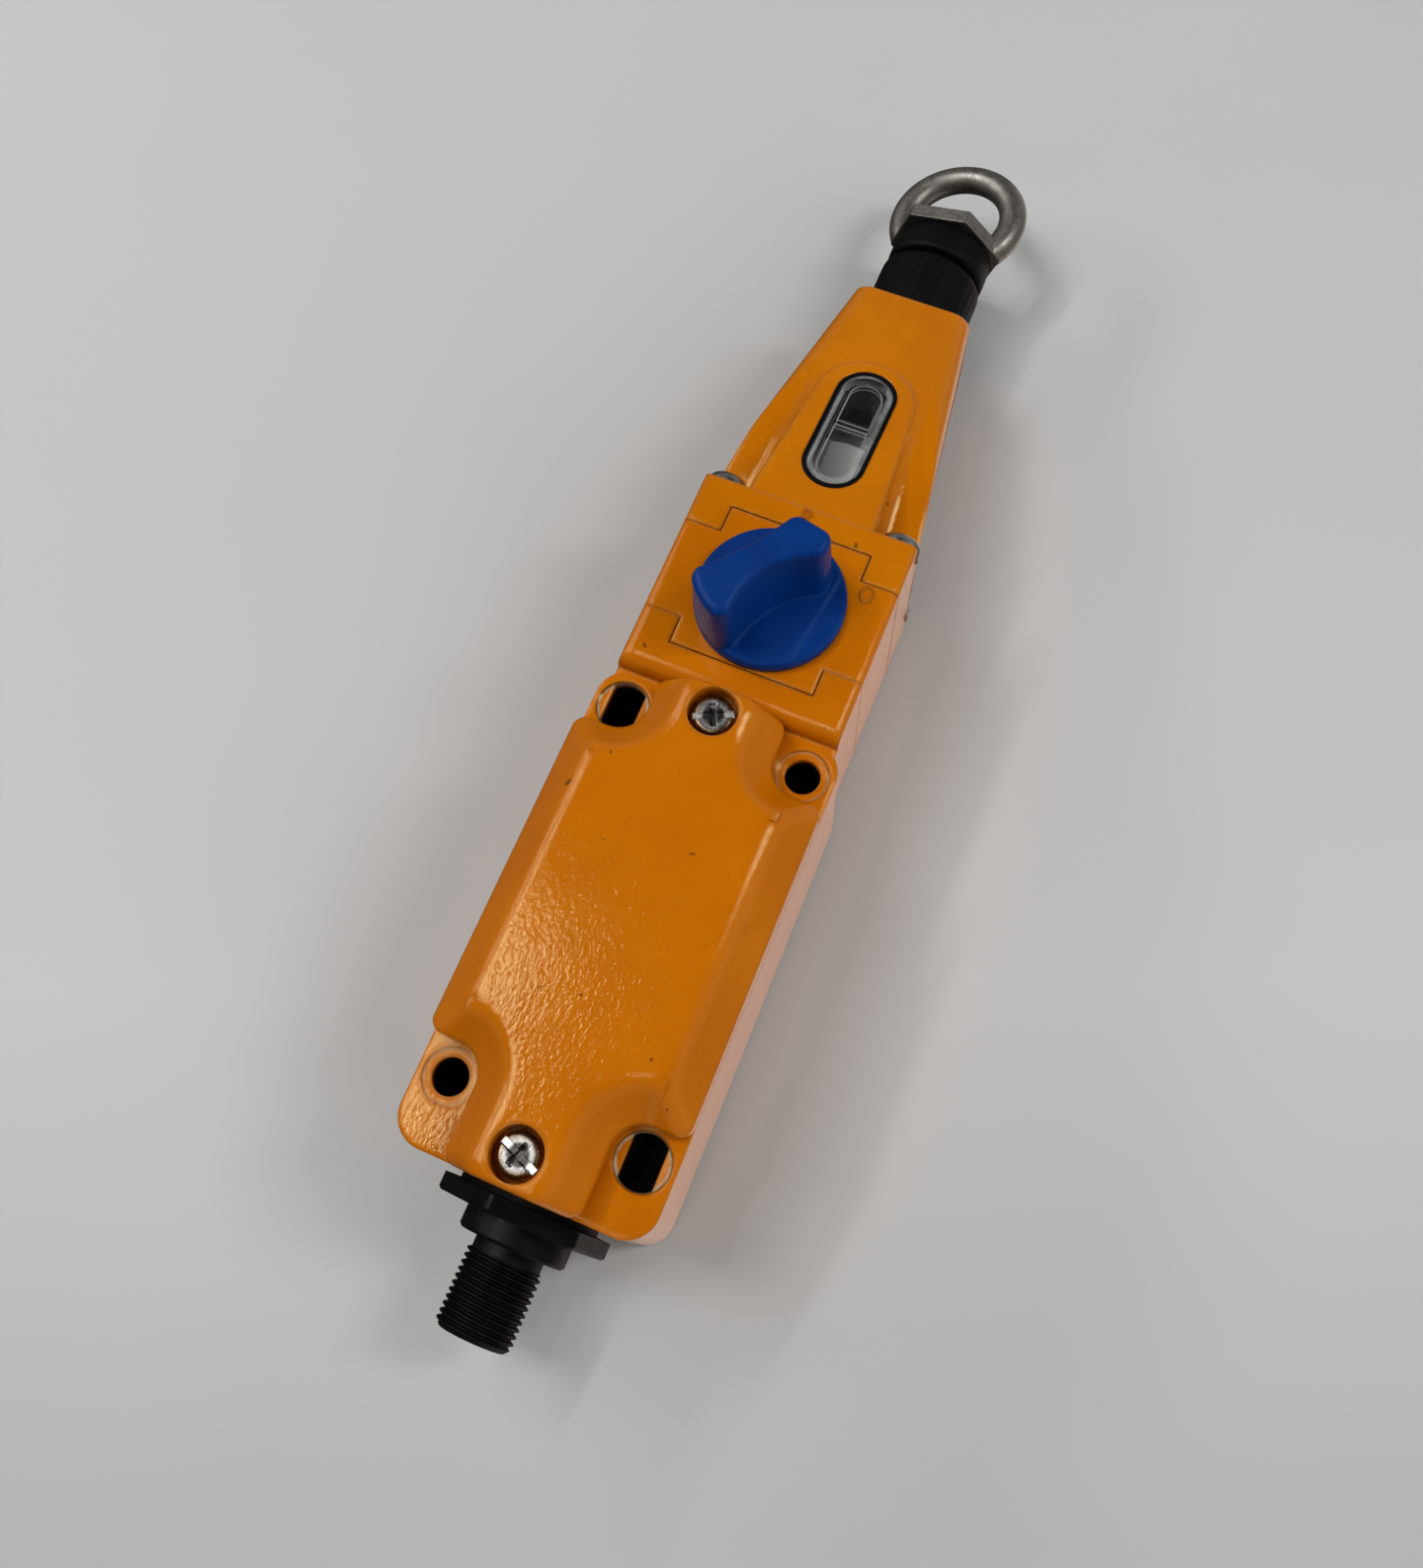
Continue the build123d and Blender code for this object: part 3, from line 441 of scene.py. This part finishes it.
MATS = {
    "yellow_paint": yellow_paint("yellow_paint"),
    "blue_plastic": plastic("blue_plastic", srgb(1, 41, 106), srgb(2, 50, 119), 0.38, 1500.0, 0.04,
                            edge_colour=srgb(14, 70, 144), level=0.2, tint=BLUE_TINT, soft=0.9),
    "clear_lens": clear_lens(),
    "black_rubber": plastic("black_rubber", srgb(5, 5, 6), srgb(10, 10, 11), 0.5, 1200.0, 0.03,
                            level=0.09),
    "black_plastic": plastic("black_plastic", srgb(4, 4, 5), srgb(9, 9, 11), 0.42, 1500.0, 0.03,
                             edge_colour=srgb(24, 24, 26), level=0.12),
    "white_plastic": plastic("white_plastic", srgb(236, 235, 230), srgb(244, 243, 239), 0.5, 900.0, 0.02),
    "brass": metal("brass", srgb(190, 150, 80), srgb(214, 178, 104), 0.3),
    "zinc_steel": metal("zinc_steel", srgb(148, 146, 141), srgb(172, 170, 165), 0.28, RECESS_SHADE),
    "spring_steel": metal("spring_steel", srgb(110, 110, 112), srgb(150, 150, 152), 0.32),
    "stainless": metal("stainless", srgb(122, 118, 112), srgb(148, 144, 138), 0.42),
}
screw_top = max(v.co.z for v in nodes["lid_screws"].data.vertices) / MM
OWN_MATS = {
    "switch_body": yellow_paint("yellow_paint_body", spot_faces=SPOT_FACES),
    "nose_housing": yellow_paint("yellow_paint_nose", tone=NOSE_TONE, window=True),
    "body_lid": yellow_paint("yellow_paint_lid", soft=1.4),
    "lid_screws": screw_heads("zinc_steel_lid_screws", screw_top - SLOT_DEPTH),
}
SLOTS = {row["node"]: row["material_slot"] for row in frame["record"]["subparts"]}


def dress(obj, material):
    obj.data.materials.clear()
    obj.data.materials.append(material)


for name, obj in nodes.items():
    dress(obj, OWN_MATS.get(name, MATS[SLOTS[name]]))


# Pieces with detail finer than the solids carry

SHARP_ANGLE = 35.0
ROUND_ANGLE = 60.0


def add_piece(name, bm, slot, body, sharp=SHARP_ANGLE):
    """Make an object of the mesh, smooth up to the sharp angle, and give it its slot and body."""
    bmesh.ops.recalc_face_normals(bm, faces=bm.faces)
    mesh = bpy.data.meshes.new(name)
    bm.to_mesh(mesh)
    bm.free()
    for face in mesh.polygons:
        face.use_smooth = True
    mesh.set_sharp_from_angle(angle=math.radians(sharp))
    obj = bpy.data.objects.new(name, mesh)
    scene.collection.objects.link(obj)
    dress(obj, MATS[slot])
    if body:
        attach(obj, body)
    return obj


def ring(bm, y, radii):
    """One closed ring of points round the shaft axis, in mm; radii holds one radius per point."""
    out = []
    for k, r in enumerate(radii):
        a = 2 * math.pi * k / len(radii)
        out.append(bm.verts.new((r * math.cos(a) * MM, y * MM, (AXIS_Z + r * math.sin(a)) * MM)))
    return out


def skin(bm, rings):
    """Join each ring to the next one with faces."""
    for low, high in zip(rings, rings[1:]):
        for k in range(len(low)):
            j = (k + 1) % len(low)
            bm.faces.new((low[k], low[j], high[j], high[k]))


# Boot: soft edges, a ribbed lower cuff and a thin groove

BOOT_POINTS = 192
BOOT_RIBS = 32
RIB_DEPTH = 0.09
RIBBED_FROM_R = 9.4
RIBBED_TO_Y = 133.2

# Radius and y round the boot's wall: up its outside, then down its bore
BOOT_LINE = [
    (6.02, 122.52), (9.25, 122.52), (9.45, 122.7), (9.5, 123.0), (9.5, 125.0), (9.5, 127.5),
    (9.5, 130.0), (9.5, 132.2), (9.47, 133.0), (9.36, 133.6), (9.1, 133.95), (8.6, 134.15),
    (7.7, 134.3), (7.4, 134.5), (7.4, 135.0), (7.7, 135.15), (8.7, 135.25), (9.05, 135.4),
    (9.22, 135.75), (9.28, 136.3), (9.28, 137.6), (9.24, 139.0), (9.14, 140.3), (9.0, 141.0),
    (8.75, 141.35), (8.4, 141.48), (6.52, 141.48), (6.52, 134.62), (7.4, 133.1), (7.4, 129.7),
    (6.02, 129.02),
]


def boot_radii(r, y):
    """Radii round the boot at one point of its line, with ribs on the lower cuff."""
    depth = RIB_DEPTH if r > RIBBED_FROM_R and y < RIBBED_TO_Y else 0.0
    turns = [2 * math.pi * BOOT_RIBS * k / BOOT_POINTS for k in range(BOOT_POINTS)]
    return [r - depth * max(0.0, math.cos(turn)) for turn in turns]


boot_bm = bmesh.new()
boot_rings = [ring(boot_bm, y, boot_radii(r, y)) for r, y in BOOT_LINE]
skin(boot_bm, boot_rings + boot_rings[:1])
boot = add_piece("boot", boot_bm, "black_rubber", None, ROUND_ANGLE)
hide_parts("shaft_boot")
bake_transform(boot)

# Plug: the solid without its plain stem, and a cut thread in its place

STEM_TOP = -49.5
STEM_END = -61.0
STEM_MARGIN = 0.05
STEM_INNER_R = 4.5
BORE_R = 4.3
CREST_R = 5.95
ROOT_R = 5.33
PITCH = 1.0
ROOT_SHARE = 0.12
FLANK_SHARE = 0.68
NECK_R = 5.4
NECK_SLOPE = 1.4
TIP_CHAMFER = 0.8
THREAD_POINTS = 96
THREAD_RINGS = 150


def on_plain_stem(face):
    """Whether a face of the solid plug belongs to the outside of its stem."""
    low = all(v.co.y < (STEM_TOP + STEM_MARGIN) * MM for v in face.verts)
    far = max(math.hypot(v.co.x, v.co.z - AXIS_Z * MM) for v in face.verts)
    return low and far > STEM_INNER_R * MM


def thread_radius(y, turn):
    """Radius of the thread at y and at this share of a turn, within its neck and its chamfered tip."""
    phase = (y / PITCH - turn) % 1.0
    tooth = 1.0 - abs(2.0 * phase - 1.0)
    tooth = min(1.0, max(0.0, (tooth - ROOT_SHARE) / FLANK_SHARE))
    thread = ROOT_R + (CREST_R - ROOT_R) * tooth
    neck = NECK_R + NECK_SLOPE * (STEM_TOP - y)
    tip = CREST_R - TIP_CHAMFER + (y - STEM_END)
    return min(thread, neck, tip)


plug_bm = bmesh.new()
plug_bm.from_mesh(nodes["connector_body"].data)
plain_stem = [face for face in plug_bm.faces if on_plain_stem(face)]
bmesh.ops.delete(plug_bm, geom=plain_stem, context="FACES")
stem_rings = []
for i in range(THREAD_RINGS + 1):
    y = STEM_TOP + (STEM_END - STEM_TOP) * i / THREAD_RINGS
    radii = [thread_radius(y, k / THREAD_POINTS) for k in range(THREAD_POINTS)]
    stem_rings.append(ring(plug_bm, y, radii))
stem_rings.append(ring(plug_bm, STEM_END, [BORE_R] * THREAD_POINTS))
skin(plug_bm, stem_rings)
plug = add_piece("plug", plug_bm, "black_plastic", "housing")
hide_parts("connector_body")

# Main spring: the solid's own coils, between the moving collar and the fixed bush

coil_bm = bmesh.new()
coil_bm.from_mesh(nodes["main_spring"].data)
coil = add_piece("coil", coil_bm, "spring_steel", None, ROUND_ANGLE)
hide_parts("main_spring")
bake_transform(coil)

# Raised position marks beside the knob, on the middle block's top

BLOCK_TOP = 35.0
LETTER_HEIGHT = 3.3
FONT_PER_HEIGHT = 1.37
LETTER_HALF_DEPTH = 0.12
LETTER_RISE = 0.08
LETTER_STEPS = 6
WELD_DISTANCE = 0.00001


def raised_letter(name, letter, x, y, narrow):
    """A letter with its middle at x and y, narrowed by this factor."""
    curve = bpy.data.curves.new(name, "FONT")
    curve.body = letter
    curve.size = LETTER_HEIGHT * FONT_PER_HEIGHT * MM
    curve.extrude = LETTER_HALF_DEPTH * MM
    curve.align_x = "CENTER"
    curve.align_y = "CENTER"
    curve.resolution_u = LETTER_STEPS
    text = bpy.data.objects.new(name + "_text", curve)
    scene.collection.objects.link(text)
    bpy.context.view_layer.update()
    mesh = bpy.data.meshes.new_from_object(text.evaluated_get(bpy.context.evaluated_depsgraph_get()))
    bpy.data.objects.remove(text)
    bm = bmesh.new()
    bm.from_mesh(mesh)
    bpy.data.meshes.remove(mesh)
    bmesh.ops.remove_doubles(bm, verts=bm.verts, dist=WELD_DISTANCE * MM)
    bmesh.ops.scale(bm, verts=bm.verts, vec=(narrow, 1.0, 1.0))
    bmesh.ops.translate(bm, verts=bm.verts, vec=(x * MM, y * MM, (BLOCK_TOP + LETTER_RISE) * MM))
    add_piece(name, bm, "yellow_paint", "housing")


raised_letter("mark_off", "O", 13.8, 60.4, 0.68)
raised_letter("mark_run", "R", 0.0, 69.5, 0.85)


# Floor, in metres

FLOOR_Z = -0.0002
FLOOR_HALF = 3.0
FLOOR_CELLS = 4

# Direction in which the photograph's background changes its tone, and how fast it does
TONE_X = -0.387
TONE_Y = 0.922
TONE_SLOPE = 5.0
SIDE_SLOPE = 8.0
MIDDLE = 0.5

PALE_FLOOR = (srgb(196, 197, 196), srgb(200, 201, 200))
# Painted shade near the front and painted light far away
NEAR_FLOOR_SHADE = (srgb(182, 182, 180), srgb(185, 185, 183))
FAR_FLOOR_LIGHT = srgb(240, 240, 239)
# Painted reflection: colours the floor shows only in glossy rays, dark on the left and bright beside the
# part's right flank
PAINTED_REFLECTION_LEFT = srgb(56, 54, 52)
PAINTED_REFLECTION_FLANK = srgb(252, 240, 232)
PAINTED_REFLECTION_RIGHT = srgb(112, 110, 108)


def floor_paint():
    """Pale floor, with painted shade a little darker towards the front and painted light paler far away;
    in glossy rays it is painted dark on the left and bright beside the right flank, a painted reflection
    on the part.
    """
    p = Paint("floor_paint")
    place = p.axes()
    along = p.math("ADD", p.times(place["X"], TONE_X), p.times(place["Y"], TONE_Y))
    pale = p.between(p.noise(6.0, 4.0), *PALE_FLOOR)
    near = p.between(p.noise(6.0, 4.0), *NEAR_FLOOR_SHADE)
    reach = p.ramp(p.linear(along, TONE_SLOPE, MIDDLE), [(0.08, 0.0), (0.48, 1.0), (1.0, 0.5)])
    tone = p.mix(reach, near, pale)
    away = p.node("ShaderNodeVectorMath", operation="LENGTH")
    p.link(p.coord, away.inputs[0])
    tone = p.mix(p.step(away.outputs["Value"], 0.35, 0.9), tone, FAR_FLOOR_LIGHT)
    # Painted reflection on the part, seen only in glossy rays
    painted_reflection = p.ramp(p.linear(place["X"], SIDE_SLOPE, MIDDLE), [
        (0.56, PAINTED_REFLECTION_LEFT), (0.66, PAINTED_REFLECTION_FLANK), (0.78, PAINTED_REFLECTION_FLANK), (0.95, PAINTED_REFLECTION_RIGHT)])
    in_mirror = p.node("ShaderNodeLightPath").outputs["Is Glossy Ray"]
    p.shade(Base_Color=p.mix(in_mirror, tone, painted_reflection), Roughness=0.6, Specular_IOR_Level=0.2)
    return p.mat


floor_mesh = bpy.data.meshes.new("floor")
floor_bm = bmesh.new()
bmesh.ops.create_grid(floor_bm, x_segments=FLOOR_CELLS, y_segments=FLOOR_CELLS, size=FLOOR_HALF)
floor_bm.to_mesh(floor_mesh)
floor_bm.free()
floor = bpy.data.objects.new("floor", floor_mesh)
scene.collection.objects.link(floor)
floor.location = (0, 0, FLOOR_Z)
dress(floor, floor_paint())

# Sky: darker upwards and dimmer on the left

SKY_STOPS = ((0.05, 0.66), (0.45, 0.38), (0.8, 0.08))
SKY_STRENGTH = 0.58
SKY_SLOPE = 0.2

world = bpy.data.worlds.new("studio")
scene.world = world
world.use_nodes = True
sky_nodes = world.node_tree.nodes
sky_links = world.node_tree.links
background = sky_nodes["Background"]
sky_place = sky_nodes.new("ShaderNodeSeparateXYZ")
sky_links.new(sky_nodes.new("ShaderNodeTexCoord").outputs["Generated"], sky_place.inputs[0])
sky = sky_nodes.new("ShaderNodeValToRGB")
fill_ramp(sky, SKY_STOPS)
sky_links.new(sky_place.outputs["Z"], sky.inputs["Fac"])
sky_links.new(sky.outputs["Color"], background.inputs["Color"])
dimmer = sky_nodes.new("ShaderNodeMath")
dimmer.operation = "MULTIPLY_ADD"
dimmer.inputs[1].default_value = SKY_SLOPE
dimmer.inputs[2].default_value = SKY_STRENGTH
sky_links.new(sky_place.outputs["X"], dimmer.inputs[0])
sky_links.new(dimmer.outputs[0], background.inputs["Strength"])


# Lamps: places and sizes in metres

def add_lamp(name, kind, energy, direction):
    """A lamp that shines along this direction."""
    data = bpy.data.lights.new(name, kind)
    data.energy = energy
    lamp = bpy.data.objects.new(name, data)
    scene.collection.objects.link(lamp)
    lamp.rotation_euler = direction.to_track_quat("-Z", "Y").to_euler()
    return lamp


def sun_light(name, place, strength, spread):
    """A distant lamp on the side of this place; spread is its width in degrees."""
    lamp = add_lamp(name, "SUN", strength, -Vector(place))
    lamp.data.angle = math.radians(spread)
    return lamp


def area_light(name, place, target, size, power):
    """A rectangular lamp that faces the target; size is its width and its height."""
    lamp = add_lamp(name, "AREA", power, Vector(target) - Vector(place))
    lamp.location = place
    lamp.data.shape = "RECTANGLE"
    lamp.data.size, lamp.data.size_y = size


sun_light("soft_top", (-0.44, 0.0, 0.86), 0.64, 18.0)
fill_right = sun_light("fill_right", (0.9, -0.15, 0.6), 0.75, 45.0)
fill_right.visible_glossy = False
area_light("small_front", (-0.05, -0.28, 0.9), (0, 0.03, 0), (0.14, 0.14), 0.6)
area_light("strip_left", (-0.7, 0.13, 0.42), (0, 0.03, 0.03), (0.5, 0.1), 1.3)
area_light("edge_left", (-0.52, 0.12, 0.78), (0, 0.03, 0.03), (0.5, 0.035), 1.6)
area_light("glare_left", (-0.242, 0.012, 0.9), (-0.016, -0.025, 0.037), (0.2, 0.05), 0.43)
area_light("strip_right", (0.5, 0.26, 0.7), (0, 0.05, 0.03), (0.14, 0.3), 2.0)

# Camera: the one solved from the fixing holes in the photograph

CAMERA_PLACE = (0.038408, -0.036059, 0.258269)
CAMERA_TURN = (23.135655, 2.159063, 22.756013)

cam_data = bpy.data.cameras.new("camera")
cam_data.sensor_width = 36.0
cam_data.lens = 35.564
cam_data.shift_x = -0.0055847
cam_data.shift_y = -0.1073539
cam_data.clip_start = 0.01
camera = bpy.data.objects.new("camera", cam_data)
scene.collection.objects.link(camera)
camera.location = CAMERA_PLACE
camera.rotation_euler = [math.radians(a) for a in CAMERA_TURN]
scene.camera = camera

scene.view_settings.view_transform = "Standard"
